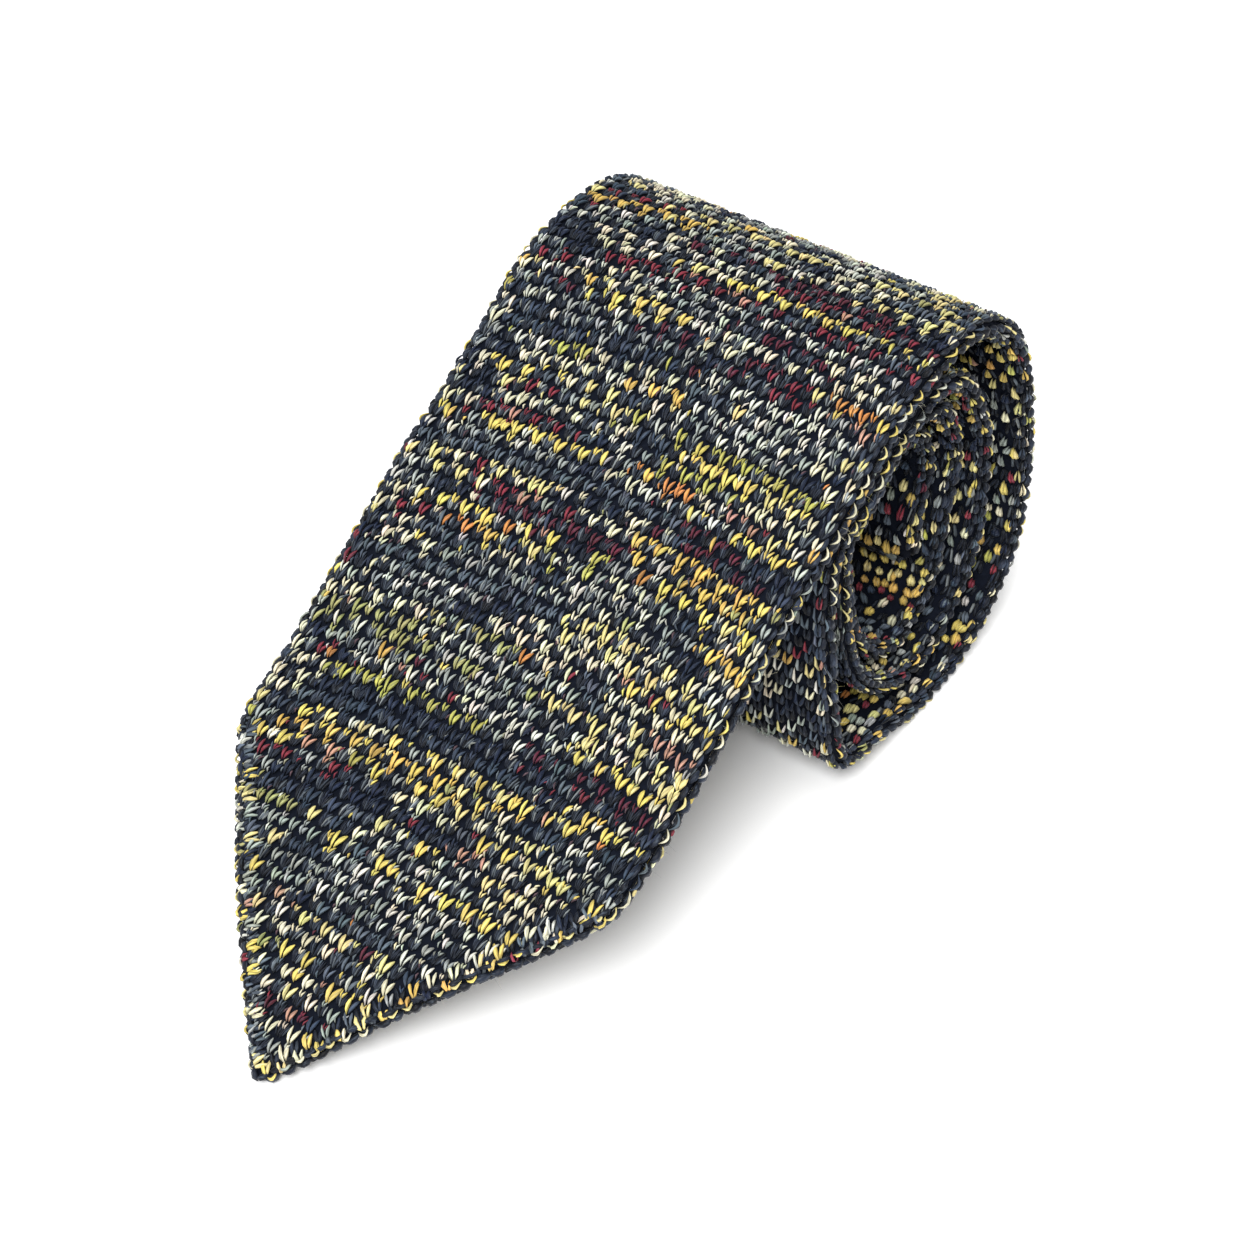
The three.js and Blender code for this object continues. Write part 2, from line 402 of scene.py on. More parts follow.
# Stitch sizes, from the photo unrolled on the cloth: 35 wales to a face, a dyed V in every second
# place of a brick lattice, a small one peeping out under it and navy ones between. The courses arch:
# they sink with the square of how far they are from a crest a little right of the middle.
knit = {
    "wale": 1.726,
    "course": 2.2,
    "lastWale": 17,
    "arch": 0.0025,
    "crest": 5.0,
    "clip": 0.7,          # how near the outline a stitch's middle may come
    "wander": 0.3,        # how far rows and wales stray from straight
    "peep": 1.5,          # how far under its V the small one lies
    "seenDepth": 3.2,     # how far from an edge stitches are seen with no room in front of the face
    "seenPerRoom": 3.6,   # and how much further for each millimetre of room
    "specks": 0.5,        # share of the places with a speck beside them
}


def courseSag(x):
    return knit["arch"] * (x - knit["crest"]) ** 2


# Colours of the space-dyed yarn, each with how stout its legs look beside the others
dyes = {
    "yellow": ("#e3ce6e", 1.04), "gold": ("#dbb660", 1.0), "straw": ("#e2d490", 0.98),
    "cream": ("#e2dcbc", 0.86), "ivory": ("#dcdccd", 0.76), "grey": ("#a2a9a2", 0.72),
    "moss": ("#a7a66c", 0.8), "olive": ("#b9b55e", 0.9), "orange": ("#cf8a4c", 0.84),
    "salmon": ("#c69681", 0.76), "red": ("#86303d", 0.68), "wine": ("#5f2434", 0.7),
    "slate": ("#59646f", 0.78), "steel": ("#354152", 0.9), "navy": ("#172136", 1.0),
}
# what each dye drifts into along the yarn, and how often
drift = {
    "yellow": (0.6, ("straw", "cream", "grey", "ivory", "slate")), "gold": (0.5, ("yellow", "straw", "moss")),
    "straw": (0.58, ("cream", "ivory", "cream", "ivory")), "olive": (0.42, ("straw", "moss", "ivory")),
    "orange": (0.36, ("gold", "cream")), "salmon": (0.4, ("cream", "grey", "ivory")),
    "red": (0.6, ("slate", "grey", "wine", "salmon", "steel")), "wine": (0.55, ("steel", "slate", "navy")),
    "ivory": (0.24, ("cream", "grey")), "moss": (0.3, ("ivory", "grey")),
}
quietYarn = ("navy", "slate", "ivory", "grey", "cream", "steel", "ivory", "cream", "straw", "grey")
brightYarn = ("yellow", "navy", "straw", "steel", "gold", "slate", "navy", "red",
              "cream", "olive", "grey", "steel")
edgeYarn = ("yellow", "straw", "navy", "yellow", "cream", "gold", "straw", "red", "yellow", "slate")
insideYarn = ("yellow", "navy", "gold", "steel", "olive", "navy", "straw", "red",
              "gold", "slate", "yellow", "grey")
# and of the plain navy yarn between, a heather of close shades, the pale ones last
heather = ("#0d0f16", "#121621", "#181d29", "#1e2533", "#272e3d", "#0e1017", "#161b26", "#202735", "#191e2a",
           "#3b434f", "#5c646b", "#868c8d")

# The streaks the dyed yarn makes as it runs along the courses, charted from the blade. along is the
# length from the point, from and to are places across, all in millimetres.
streaks = (
    (2.5, -4, 4, "grey"), (7, -9, 0, "cream"), (7, 0, 6, "yellow"), (9, -10, 6, "red"),
    (10.7, -9, -3, "straw"), (10.7, -3, 3, "cream"), (12.8, -13, -8, "salmon"), (12.8, -8, 8, "yellow"),
    (15, -12, -3, "moss"), (15, 4, 12, "yellow"), (17, -10, 8, "yellow"), (19.3, -14, 13, "straw"),
    (21.2, -10, -5, "cream"), (21.2, -5, 8, "wine"), (22.8, -18, -12, "yellow"), (22.8, -12, -5, "salmon"),
    (22.8, -5, 7, "slate"), (22.8, 9, 19, "ivory"), (25, -19, -6, "grey"), (25, 1, 18, "ivory"),
    (27.2, -20, -5, "grey"), (27.2, -4, 21, "ivory"), (29.5, -23, -8, "grey"), (29.5, -7, 23, "ivory"),
    (31.8, -25, -13, "moss"), (31.8, -13, 21, "yellow"), (34, -27, -12, "steel"), (34, 14, 23, "cream"),
    (35.8, -28, -15, "grey"), (35.8, 1, 9, "yellow"), (35.8, 10, 28, "straw"), (37, -3, 6, "red"),
    (37, 6, 13, "salmon"), (38.3, -29, 8, "navy"), (38.3, 10, 28, "cream"), (40.4, -29, -13, "yellow"),
    (39.6, -27, -9, "red"), (40.4, 12, 28, "yellow"), (42.6, -28, 2, "yellow"), (42.6, 2, 21, "straw"),
    (41.6, -23, -9, "red"), (44.2, -24, 12, "gold"), (45.8, -24, 4, "yellow"), (45.8, 4, 22, "yellow"),
    (47.2, -21, 13, "straw"), (49, -29, -20, "cream"), (48.6, -20, 12, "steel"), (49, 15, 27, "yellow"),
    (50.4, -29, 15, "navy"), (50.4, 16, 24, "gold"), (50.4, 24, 29, "red"), (52, -23, 3, "olive"),
    (52, 7, 19, "red"), (54, -27, -4, "red"), (54, 7, 30, "wine"), (55.8, -29, 15, "ivory"),
    (55.8, 15, 30, "yellow"), (57.6, -29, 4, "grey"), (57.6, 12, 30, "straw"), (59.5, -29, 4, "moss"),
    (59.5, 12, 30, "straw"), (61.3, -30, -14, "moss"), (61.3, -14, 11, "ivory"), (61.3, 19, 30, "salmon"),
    (63, -30, -10, "cream"), (63, -8, 9, "grey"), (63, 18, 30, "cream"), (65, -31, -26, "red"),
    (65, -18, 0, "moss"), (65, 13, 30, "yellow"), (66.8, 12, 25, "red"), (67.4, -2, 13, "cream"),
    (68.9, -21, -17, "red"), (68.9, 1, 28, "straw"), (71.2, -26, 4, "slate"), (71.2, 6, 28, "straw"),
    (73.4, -18, -2, "grey"), (73.4, 4, 14, "cream"), (75, -28, -22, "red"), (75, -20, -15, "yellow"),
    (75, 21, 30, "gold"), (76.9, -20, -13, "orange"), (76.9, -9, 3, "olive"), (78.8, -25, 3, "yellow"),
    (78.8, 10, 30, "yellow"), (80, -9, 4, "olive"), (81.3, -18, 8, "wine"), (81.3, 8, 28, "gold"),
    (83, -18, -4, "red"), (83, 8, 29, "gold"), (83.2, -24, -18, "straw"), (85.6, -30, -4, "straw"),
    (86.6, 11, 26, "wine"), (87.6, -31, 10, "slate"), (88, 11, 22, "wine"), (88, 22, 31, "navy"),
    (90.5, -31, -19, "yellow"),
    (90.5, 12, 28, "yellow"), (90.5, 3, 10, "ivory"), (93, -29, -2, "yellow"), (93, 0, 11, "orange"),
    (93, 11, 21, "salmon"), (95.3, -25, -5, "red"), (95.3, 3, 16, "olive"), (95.3, 17, 29, "cream"),
    (97, -21, -9, "cream"), (97, 14, 27, "straw"), (98.2, -28, 3, "straw"), (98.2, 4, 28, "yellow"),
    (99.4, -23, -13, "red"), (100.6, -27, -13, "yellow"), (100.6, -9, 28, "olive"), (103, -8, 22, "ivory"),
    (103, 23, 28, "cream"), (105.1, -24, -11, "olive"), (105.1, -7, 9, "gold"), (105.1, 11, 28, "ivory"),
    (107.8, -28, 4, "steel"), (107.8, 4, 28, "ivory"), (110, 6, 18, "red"), (110, -21, 3, "grey"),
    (110, 19, 29, "salmon"), (112, -30, -17, "red"), (112, -7, -2, "wine"), (112, 6, 18, "red"),
    (112, 18, 30, "orange"), (113.9, -29, -2, "yellow"), (113.9, 3, 30, "straw"), (115.4, -3, 28, "ivory"),
    (115.4, -29, -9, "straw"), (117.4, -31, -23, "red"), (117.4, 1, 18, "wine"), (117.4, -18, -8, "cream"),
    (119.2, -23, 30, "ivory"), (121.5, -20, 31, "red"), (124.1, -25, -10, "cream"), (124.1, -8, 30, "yellow"),
    (126.4, -21, 3, "ivory"), (126.4, 3, 31, "red"), (128.6, -9, 30, "wine"), (130.6, -28, -13, "gold"),
    (130.6, -3, 30, "straw"), (132.8, -28, -15, "red"), (135, -25, 25, "straw"),
)
streakRepeat = 137.0      # past the part that is seen, the same runs come round again, turned over
# and inside the roll, on the cloth's inner face
innerStreaks = (
    (150, 20, 31, "slate"), (156, 20, 26, "red"), (158, 20, 26, "gold"), (175, 25, 31, "yellow"),
    (179.5, 27, 31, "olive"), (187, 26, 31, "straw"), (198, 26, 31, "red"), (200.2, 26, 31, "red"),
    (203, 28, 31, "cream"), (209, 26, 31, "yellow"), (211.2, 26, 31, "gold"), (217, 27, 31, "straw"),
    (224, 27, 31, "cream"), (227, 26, 31, "yellow"), (231.5, 20, 31, "yellow"), (234, 20, 31, "straw"),
    (236.5, 20, 31, "grey"), (239, 24, 31, "cream"), (241.5, 24, 31, "red"), (508.5, 10, 31, "yellow"),
    (510.7, 10, 31, "straw"), (512.8, 10, 31, "gold"), (515, 14, 31, "red"), (517.2, 14, 31, "yellow"),
    (519.4, 16, 31, "cream"), (522, 16, 31, "slate"), (524.2, 16, 31, "grey"), (526.4, 18, 31, "slate"),
    (545, 24, 31, "red"), (547.4, 24, 31, "red"), (549.8, 24, 31, "orange"), (554, 26, 31, "yellow"),
    (558.2, 26, 31, "yellow"), (566, 27, 31, "yellow"), (570.2, 27, 31, "gold"), (600, 20, 31, "straw"),
    (602.2, 18, 31, "yellow"), (604.4, 16, 31, "red"), (606.6, 12, 31, "gold"), (608.8, 8, 31, "yellow"),
    (611, 8, 31, "gold"), (613, 8, 31, "yellow"),
)


# The dyed yarn's colour and stoutness at places on the cloth, and how strong its streak is there.
# Each streak weighs as a flat-topped bell across the course nearest to it, and is full along its
# length with soft ends that wander; the heaviest wins. Off the streaks the yarn is in its quiet
# colours. Both they and the drift into close shades go by runs of a few stitches along the course.
def yarnColours(x, s, dice, quiet=0.34, calm=quietYarn, seen=streaks):
    names = list(dyes)
    table = np.array([linear(dyes[n][0]) for n in names])
    stout = np.array([dyes[n][1] for n in names])
    level = s + courseSag(x)
    if seen is streaks:
        lap = np.floor(s / streakRepeat)
        x = np.where(lap % 2 == 0, x, -x)
        level = level - lap * streakRepeat
    best = np.full(len(x), quiet)
    course = np.round(level / knit["course"] - 0.3).astype(int)
    run = np.floor((x + 60 + 9 * np.sin(course * 5.1)) / 5.5).astype(int) * 7 + course * 13
    pick = np.array([names.index(n) for n in calm])[run % len(calm)]
    for along, low, high, name in seen:
        wander = dice.normal(0, 1.5, len(x))
        own = np.round((along + courseSag((low + high) / 2)) / knit["course"] - 0.3) + 0.3
        bell = np.exp(-((level - own * knit["course"]) / 1.15) ** 4)
        inside = 1 / (1 + np.exp(-(x - low + wander) * 1.1)) / (1 + np.exp((x - high + wander) * 1.1))
        weight = bell * inside * dice.uniform(0.6, 1.0, len(x))
        better = weight > best
        best = np.where(better, weight, best)
        pick = np.where(better, names.index(name), pick)
    share = np.sin(run * 12.9898) * 437.585 % 1
    for name, (chance, others) in drift.items():
        close = np.array([names.index(n) for n in others])
        chosen = dice.random(len(x))
        together = (share < chance * 0.55) & (chosen < 0.8)
        alone = chosen < chance * 0.4
        kept = (pick == names.index(name)) & (together | alone)
        pick = np.where(kept, close[np.where(together, run, dice.integers(0, 9, len(x))) % len(close)], pick)
    stray = dice.random(len(x)) < 0.03
    pick = np.where(stray, dice.integers(0, len(names), len(x)), pick)
    colours = table[pick] * dice.normal(1, 0.1, (len(x), 1))
    return np.clip(colours * dice.normal(1, 0.035, (len(x), 3)), 0.003, 0.95), stout[pick], best


def heatherColours(count, dice, depth=1.0, shades=heather):
    shades = np.array([linear(h) for h in shades])
    return shades[dice.integers(0, len(shades), count)] * dice.normal(depth, 0.12 * depth, (count, 1))


# One leg after another, as arrays. t goes from the leg's foot (0) to its head (1). The middle line
# leans outwards from the root to the spread and bows by a sine, its height is the crown times a
# skewed sine; the section is a ring of points, as wide as the leg's width times a blunted sine and
# less thick. The whole leg is turned by its heading. Its colour is painted darker towards its foot
# and its sides and a little lighter on its crown: painted shade. Every value may be one number or one for each
# leg.
def legs(x, s, side, face, look, colours, dice, scale=1.0, lean=0.0, girth=1.0, heading=0.0):
    count = len(x)
    t = np.array((0.0,) + look["rings"] + (1.0,))[None, :, None]
    angle = np.radians(look["section"])[None, None, :]
    one = np.ones((count, 1, 1))
    values = (x, s, side, face, scale, lean, girth, heading)
    values = [np.asarray(v, float).reshape(-1, 1, 1) * one for v in values]
    x, s, side, face, scale, lean, girth, heading = values
    reach = look["length"] * scale
    spread = np.where(side < 0, look["spread"][0], look["spread"][1]) * scale
    root = look["root"]
    bow = look["bow"] * scale
    across = side * (root + (spread - root) * t + bow * np.sin(np.pi * t)) + lean * (t - 0.5)
    slope = side * (spread - root + bow * np.pi * np.cos(np.pi * t)) + lean
    size = np.hypot(slope, reach)
    swell = np.sin(np.pi * np.clip(t, 0.0, 0.999) ** look["belly"]) ** look["blunt"]
    wide = look["width"] / 2 * girth * swell * np.cos(angle)
    u = across + wide * reach / size
    v = reach * (t - 0.5) - wide * slope / size
    px = x + u * np.cos(heading) - v * np.sin(heading)
    ps = s + u * np.sin(heading) + v * np.cos(heading)
    lift = look["sink"] + look["crown"] * np.sin(np.pi * t ** 0.85) ** 0.8
    ph = lift + look["thick"] / 2 * swell * np.sin(angle) + 0 * px
    around = np.asarray(look["section"], float)[None, None, :] / 360 + 0 * px
    # painted shade: each leg darker at its sides and towards its foot, a little lighter on its crown
    light = (0.34 + 0.72 * np.clip(0.5 + 0.5 * np.sin(angle), 0, 1)) * np.clip(0.5 + 1.6 * t, 0, 1) + 0 * px
    # the first and last ring are one point each
    ring, part = len(look["rings"]), len(look["section"])
    px, ps, ph, around, light, t = (
        np.concatenate([a[:, 1:-1].reshape(count, -1), a[:, 0, :1], a[:, -1, :1]], 1)
        for a in (px, ps, ph, around, light, t + 0 * px))
    points = onCloth(px, ps, ph, face[:, :, 0])
    own = dice.uniform(0, 90, (count, 1)) + 0 * t
    strands = np.stack([around, t, own], -1)
    i, j = np.meshgrid(np.arange(ring - 1), np.arange(part), indexing="ij")
    a, b = i * part + j, i * part + (j + 1) % part
    quads = np.stack([a, a + part, b + part, b], -1).reshape(-1, 4)
    j = np.arange(part)
    foot, head = ring * part, ring * part + 1
    last = (ring - 1) * part
    footFan = np.stack([np.full(part, foot), j, (j + 1) % part], -1)
    headFan = np.stack([np.full(part, head), last + (j + 1) % part, last + j], -1)
    verts = ring * part + 2
    # the yarn's dye with the painted shade multiplied in
    tint = colours[:, None, :] * light[:, :, None]
    turnedOver = face[:, 0, 0] < 0
    mirrored = np.where(turnedOver[:, None, None], quads[None, :, ::-1], quads[None])
    fans = np.concatenate([footFan, headFan])
    mirroredFans = np.where(turnedOver[:, None, None], fans[None, :, ::-1], fans[None])
    start = (np.arange(count) * verts)[:, None, None]
    return {
        "points": points.reshape(-1, 3), "colours": tint.reshape(-1, 3), "strands": strands.reshape(-1, 3),
        "quads": (mirrored + start).reshape(-1, 4), "fans": (mirroredFans + start).reshape(-1, 3),
    }


def joinedPiece(name, batches):
    points = np.concatenate([b["points"] for b in batches])
    starts = np.cumsum([0] + [len(b["points"]) for b in batches[:-1]])
    quads = np.concatenate([b["quads"] + o for b, o in zip(batches, starts)])
    fans = np.concatenate([b["fans"] + o for b, o in zip(batches, starts)])
    triangles = len(quads) * 2 + len(fans)
    piece = addMesh(name, points, quads.tolist() + fans.tolist(), yarnMaterial,
                    np.concatenate([b["colours"] for b in batches]),
                    np.concatenate([b["strands"] for b in batches]))
    print(name, "triangles", triangles)
    return piece


fineSection = (-20, 35, 90, 145, 200, 270)
plainSection = (-15, 60, 120, 195, 270)
roughSection = (-10, 90, 190, 270)
bigStitch = {
    "length": 2.45, "spread": (0.5, 0.76), "root": 0.09, "bow": 0.03, "belly": 1.2, "blunt": 0.75,
    "width": 0.62, "thick": 0.62, "crown": 0.58, "sink": -0.6,
    "rings": (0.08, 0.3, 0.55, 0.78, 0.94), "section": fineSection,
}
smallStitch = {
    "length": 1.75, "spread": (0.42, 0.54), "root": 0.05, "bow": 0.0, "belly": 1.1, "blunt": 0.75,
    "width": 0.4, "thick": 0.42, "crown": 0.44, "sink": -0.6,
    "rings": (0.14, 0.5, 0.86), "section": plainSection,
}
speckStitch = dict(smallStitch, length=1.2, spread=(0.1, 0.1), root=0.1, bow=0.08, belly=1.0, blunt=0.7,
                   width=0.34, thick=0.36, crown=0.5, sink=-0.54, rings=(0.16, 0.5, 0.84))
# a navy leg is three thin plies side by side
innerPly = dict(smallStitch, length=2.4, spread=(0.22, 0.26), root=0.02, bow=0.06, belly=0.95, blunt=0.55,
                width=0.3, crown=0.24, sink=-0.62)
middlePly = dict(innerPly, length=2.25, spread=(0.5, 0.56), root=0.2, crown=0.32)
outerPly = dict(innerPly, length=1.8, spread=(0.76, 0.84), root=0.46, crown=0.26)
fullNavy = dict(innerPly, spread=(0.46, 0.52), root=0.12, width=0.7, thick=0.56)
roughBig = dict(bigStitch, rings=(0.2, 0.8), section=roughSection)
roughNavy = dict(fullNavy, width=0.8, rings=(0.2, 0.8), section=roughSection)
plainBig = dict(bigStitch, rings=(0.12, 0.5, 0.88), section=plainSection)


# Every stitch of one face between two lengths that somebody can see: nearer an edge than the room
# in front of the face lets one look in. Row and wale numbers say which are dyed.
def faceLattice(face, low, high):
    beyond = 2 if high >= totalLength else 0
    rows = np.arange(int(np.ceil(low / knit["course"])), int(np.ceil(high / knit["course"])) + beyond)
    wales = np.arange(-knit["lastWale"], knit["lastWale"] + 1)
    row, wale = (a.ravel() for a in np.meshgrid(rows, wales, indexing="ij"))
    x = wale * knit["wale"]
    s = (row + 0.3) * knit["course"] - courseSag(x)
    stations, room = roomAlong(face)
    depth = knit["seenDepth"] + knit["seenPerRoom"] * np.maximum(np.interp(s, stations, room), 0)
    distance = edgeDistance(x, s)
    keep = (distance > knit["clip"]) & (s < totalLength - 0.9) & (distance < depth)
    parity = 0 if face > 0 else 1
    dyed = (row + wale) % 2 == parity
    if face > 0:
        keep &= (x < 0) | (s > tie["pointDepth"] - 2) | (distance > 2.5)
    return x[keep], s[keep], dyed[keep], distance[keep]


# Both legs of a V for each place, dyed alike unless the yarn's colour changes between them; if it
# does not, the right one is drawn 5% darker. The left one is longer and the right one leans out more.
def dyedPair(x, s, face, look, dice, scale, lean, heading=0.0, quiet=0.34, calm=quietYarn, stouter=1.0,
             seen=streaks):
    batches = []
    place = s + dice.normal(0, 0.35, len(x))
    left = yarnColours(x - 0.4, place, dice, quiet, calm, seen)[:2]
    onward = yarnColours(x + 0.6, place + 0.4, dice, quiet, calm, seen)[:2]
    changed = dice.random(len(x)) < 0.2
    right = (np.where(changed[:, None], onward[0], left[0] * 0.95), np.where(changed, onward[1], left[1]))
    for side, longer, (colours, stout) in ((-1, 1.06, left), (1, 0.92, right)):
        girth = stouter * stout * dice.normal(1, 0.13, len(x))
        reach = scale * longer * dice.normal(1, 0.06, len(x)) * stout ** 0.4
        tilt = lean + dice.normal(0, 0.07, len(x))
        batches.append(legs(x, s, side, face, look, colours, dice, reach, tilt, girth, heading))
    return batches


def navyPair(x, s, face, looks, dice, scale, lean, heading=0.0, depth=1.0):
    batches = []
    for look in looks:
        for side in (-1, 1):
            girth = dice.normal(1, 0.16, len(x))
            reach = scale * dice.normal(1, 0.08, len(x))
            tilt = lean + dice.normal(0, 0.1, len(x))
            tint = heatherColours(len(x), dice, depth)
            batches.append(legs(x, s, side, face, look, tint, dice, reach, tilt, girth, heading))
    return batches


# How far stitches turn towards the blade's edge: only at the point, more on its right side
def edgeHeading(x, s, distance):
    nearest, inward = nearestOutline(np.abs(x), s)
    full = np.arctan2(-inward[:, 0], inward[:, 1]) * np.where(x < 0, -0.25, 0.7)
    atPoint = np.clip((tie["pointDepth"] + 1 - s) / 4, 0, 1)
    return full * atPoint * np.clip((4.2 - distance) / 3, 0, 1)


def faceStitches(name, face, low, high, seed, detail):
    dice = np.random.default_rng(seed)
    x, s, dyed, distance = faceLattice(face, low, high)
    heading = edgeHeading(x, s, distance)
    # rows and wales wave a little, fading out towards the edges
    calm = knit["wander"] * np.clip(distance / 6, 0, 1)
    waveX = calm * (np.sin(s / 6.1 + x / 17) + 0.6 * np.sin(s / 2.9 + x / 5.3 + 1.7))
    waveS = calm * (np.sin(x / 5.7 + s / 14 + 0.6) + 0.7 * np.sin(x / 2.6 - s / 8.5))
    x = x + waveX + dice.normal(0, detail["jitter"], len(x))
    s = s + waveS + dice.normal(0, detail["jitter"], len(s))
    scale = dice.normal(1, 0.08, len(x)) * np.where(distance < 2.6, 1.08, 1.0)
    lean = dice.normal(0, detail["tilt"], len(x)) + 0.12 * np.sin(s / 4.3 + x / 7.9)
    # a strong streak takes some of the navy places too
    seen = streaks if face > 0 else innerStreaks
    strength = yarnColours(x, s, dice, seen=seen)[2]
    taken = ~dyed & (strength > 0.55) & (dice.random(len(x)) < detail["taken"])
    scale = np.where(taken, 0.82 * scale, scale)
    bright = dyed | taken
    batches = dyedPair(x[bright], s[bright], face, detail["big"], dice, scale[bright], lean[bright],
                       heading[bright], detail["quiet"], detail["calm"], detail["stouter"], seen)
    between = ~bright
    batches += navyPair(x[between], s[between], face, detail["navy"], dice, scale[between], lean[between],
                        heading[between], detail["depth"])
    if detail["small"]:
        fuller = np.clip(0.72 + (s[dyed] - 25) / 110, 0.72, 1.0)
        beside = x[dyed] + dice.normal(0, 0.12, dyed.sum())
        batches += dyedPair(beside, s[dyed] - knit["peep"], face, smallStitch, dice, scale[dyed] * fuller,
                            lean[dyed], heading[dyed], 0.28, quietYarn, fuller)
        batches.append(specks(x, s, distance, face, dice, yarnColours))
        batches.append(specks(x, s, distance, face, dice, plainSpeck))
    return joinedPiece(name, batches)


# Colour and stoutness of a speck that belongs to no streak, one of a few greys wherever it lies
def plainSpeck(x, s, dice, quiet):
    shades = np.array([linear(h) for h in ("#4a5460", "#83867f", "#3a4453", "#9c9a80", "#69737a", "#5c464d")])
    return shades[dice.integers(0, len(shades), len(x))], np.full(len(x), 0.8)


# Short single legs that show between the V's, with the dye that the given function tells
def specks(x, s, distance, face, dice, dyeAt):
    keep = (dice.random(len(x)) < knit["specks"]) & (distance > 2)
    x = x[keep] + dice.choice([-0.86, 0.86], keep.sum()) + dice.normal(0, 0.14, keep.sum())
    s = s[keep] + dice.uniform(-1.1, 1.1, keep.sum())
    colours, stout = dyeAt(x, s, dice, 0.14)[:2]
    side = dice.choice([-1, 1], len(x))
    return legs(x, s, side, face, speckStitch, colours, dice, dice.uniform(0.7, 1.2, len(x)),
                dice.normal(0, 0.35, len(x)), stout)


# how finely each part is made: the one that is looked at has every ply and speck, and inside the roll
# the stitches are short and full, and the navy between them, nearly lost in shade, is painted a tenth darker
fine = {
    "big": bigStitch, "navy": (innerPly, middlePly, outerPly), "small": True, "taken": 0.16, "quiet": 0.34,
    "calm": quietYarn, "stouter": 1.0, "depth": 1.0, "jitter": 0.09, "tilt": 0.13,
}
plain = dict(fine, big=plainBig, navy=(fullNavy,), small=False)
rough = dict(fine, big=roughBig, navy=(roughNavy,), small=False, calm=brightYarn)
blobs = dict(roughBig, length=2.3, spread=(0.2, 0.26), root=0.2, width=0.74, thick=0.75,
             rings=(0.15, 0.5, 0.85))
# depth 0.9: the navy inside the roll painted darker, as shade
inner = dict(rough, big=blobs, taken=0.75, quiet=0.42, stouter=1.5, depth=0.9, jitter=0.34, tilt=0.42,
             calm=insideYarn)

print("stitches: faces")
pieces = []
bladeCuts = (0, 62, 104, 146)
for i in range(3):
    pieces.append(faceStitches(f"blade_stitches_{i + 1}", 1, bladeCuts[i], bladeCuts[i + 1], 11 + i, fine))
outermost = 305.0      # the first turn ends about here
pieces.append(faceStitches("back_stitches", 1, 146, outermost, 21, plain))
pieces.append(faceStitches("turned_stitches", 1, outermost, totalLength, 22, rough))
pieces.append(faceStitches("inner_stitches_1", -1, 0, outermost, 31, inner))
pieces.append(faceStitches("inner_stitches_2", -1, outermost, totalLength, 32, inner))

# The folds: the knit goes on round them, so the V's are seen from the side as pairs of arcs, with navy
# stitches standing proud between them as scallops, and thin loops of the dyed yarn over the top.
# turns are degrees round the fold from the outer face.
fold = {
    "step": 2.3,
    "dyedTurns": (14, 118, 158),
    "navyTurns": ((34, 0.85, -0.62), (90, 1.25, -0.5), (140, 0.85, -0.62)),     # turn, girth, sink
    "pointSpan": 50.0,     # length of each edge of the point
}
beadLook = {
    "length": 2.3, "spread": (0.0, 0.0), "root": 0.0, "bow": 0.05, "belly": 1.0, "blunt": 0.5,
    "width": 1.1, "thick": 1.0, "crown": 0.5, "sink": -0.6,
    "rings": (0.1, 0.35, 0.65, 0.9), "section": plainSection,
}
arcLook = dict(beadLook, length=2.4, spread=(0.42, 0.42), root=0.08, bow=0.08, belly=1.05, blunt=0.7,
               width=0.52, thick=0.54, crown=0.62)
loopLook = dict(beadLook, bow=0.36, blunt=0.45, width=0.36, thick=0.36, crown=0.85, sink=-0.5,
                rings=(0.05, 0.16, 0.3, 0.5, 0.7, 0.84, 0.95))
crescentLook = dict(loopLook, length=1.7, bow=0.3, width=0.4, thick=0.4)
pointLook = dict(bigStitch, length=2.7, rings=(0.1, 0.35, 0.65, 0.9))


# Places along an edge: the outline's point at each length of the outline, moved inwards by the
# fold's radius less the turn times it, so that the turn goes round the fold from the outer face;
# and the heading that follows the outline there.
def alongEdge(lengths, turn, side):
    x = np.interp(lengths, outlineLengths, outlineX)
    s = np.interp(lengths, outlineLengths, outlineS)
    inward = np.stack([np.interp(lengths, outlineLengths, outlineInward[:, i]) for i in range(2)], 1)
    radius = np.minimum(halfThickAt(s), halfWidthAt(s))
    back = radius * (1 - np.radians(turn))
    heading = side * (np.arctan2(-inward[:, 0], inward[:, 1]) - np.pi / 2)
    return side * (x + inward[:, 0] * back), s + inward[:, 1] * back, heading


